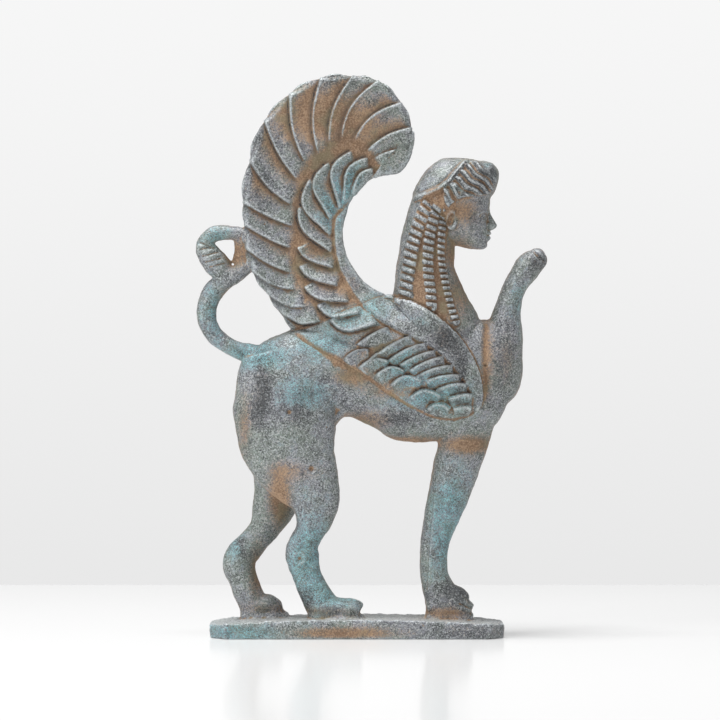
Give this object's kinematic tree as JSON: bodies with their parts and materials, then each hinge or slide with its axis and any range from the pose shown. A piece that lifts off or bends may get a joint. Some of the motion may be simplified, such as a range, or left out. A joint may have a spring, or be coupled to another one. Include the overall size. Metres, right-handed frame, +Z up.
{
  "type": "sphinx statue",
  "caption": "Standing winged sphinx with one raised forepaw, cast in one with a low plinth, with a curled wing, a looped tail, braided hair and a green-blue patina",
  "frame": {"origin": "middle of the plinth's underside", "axes": "+X the way the sphinx faces, +Y to its left and away from the viewer, +Z up"},
  "size_m": [0.0994, 0.03, 0.1588],
  "materials": {
    "bronze_patina": "cast bronze with a grey-green and turquoise patina over ochre-brown recesses"
  },
  "bodies": {
    "root": {"sphinx_statue": "bronze_patina"}
  },
  "joints": []
}
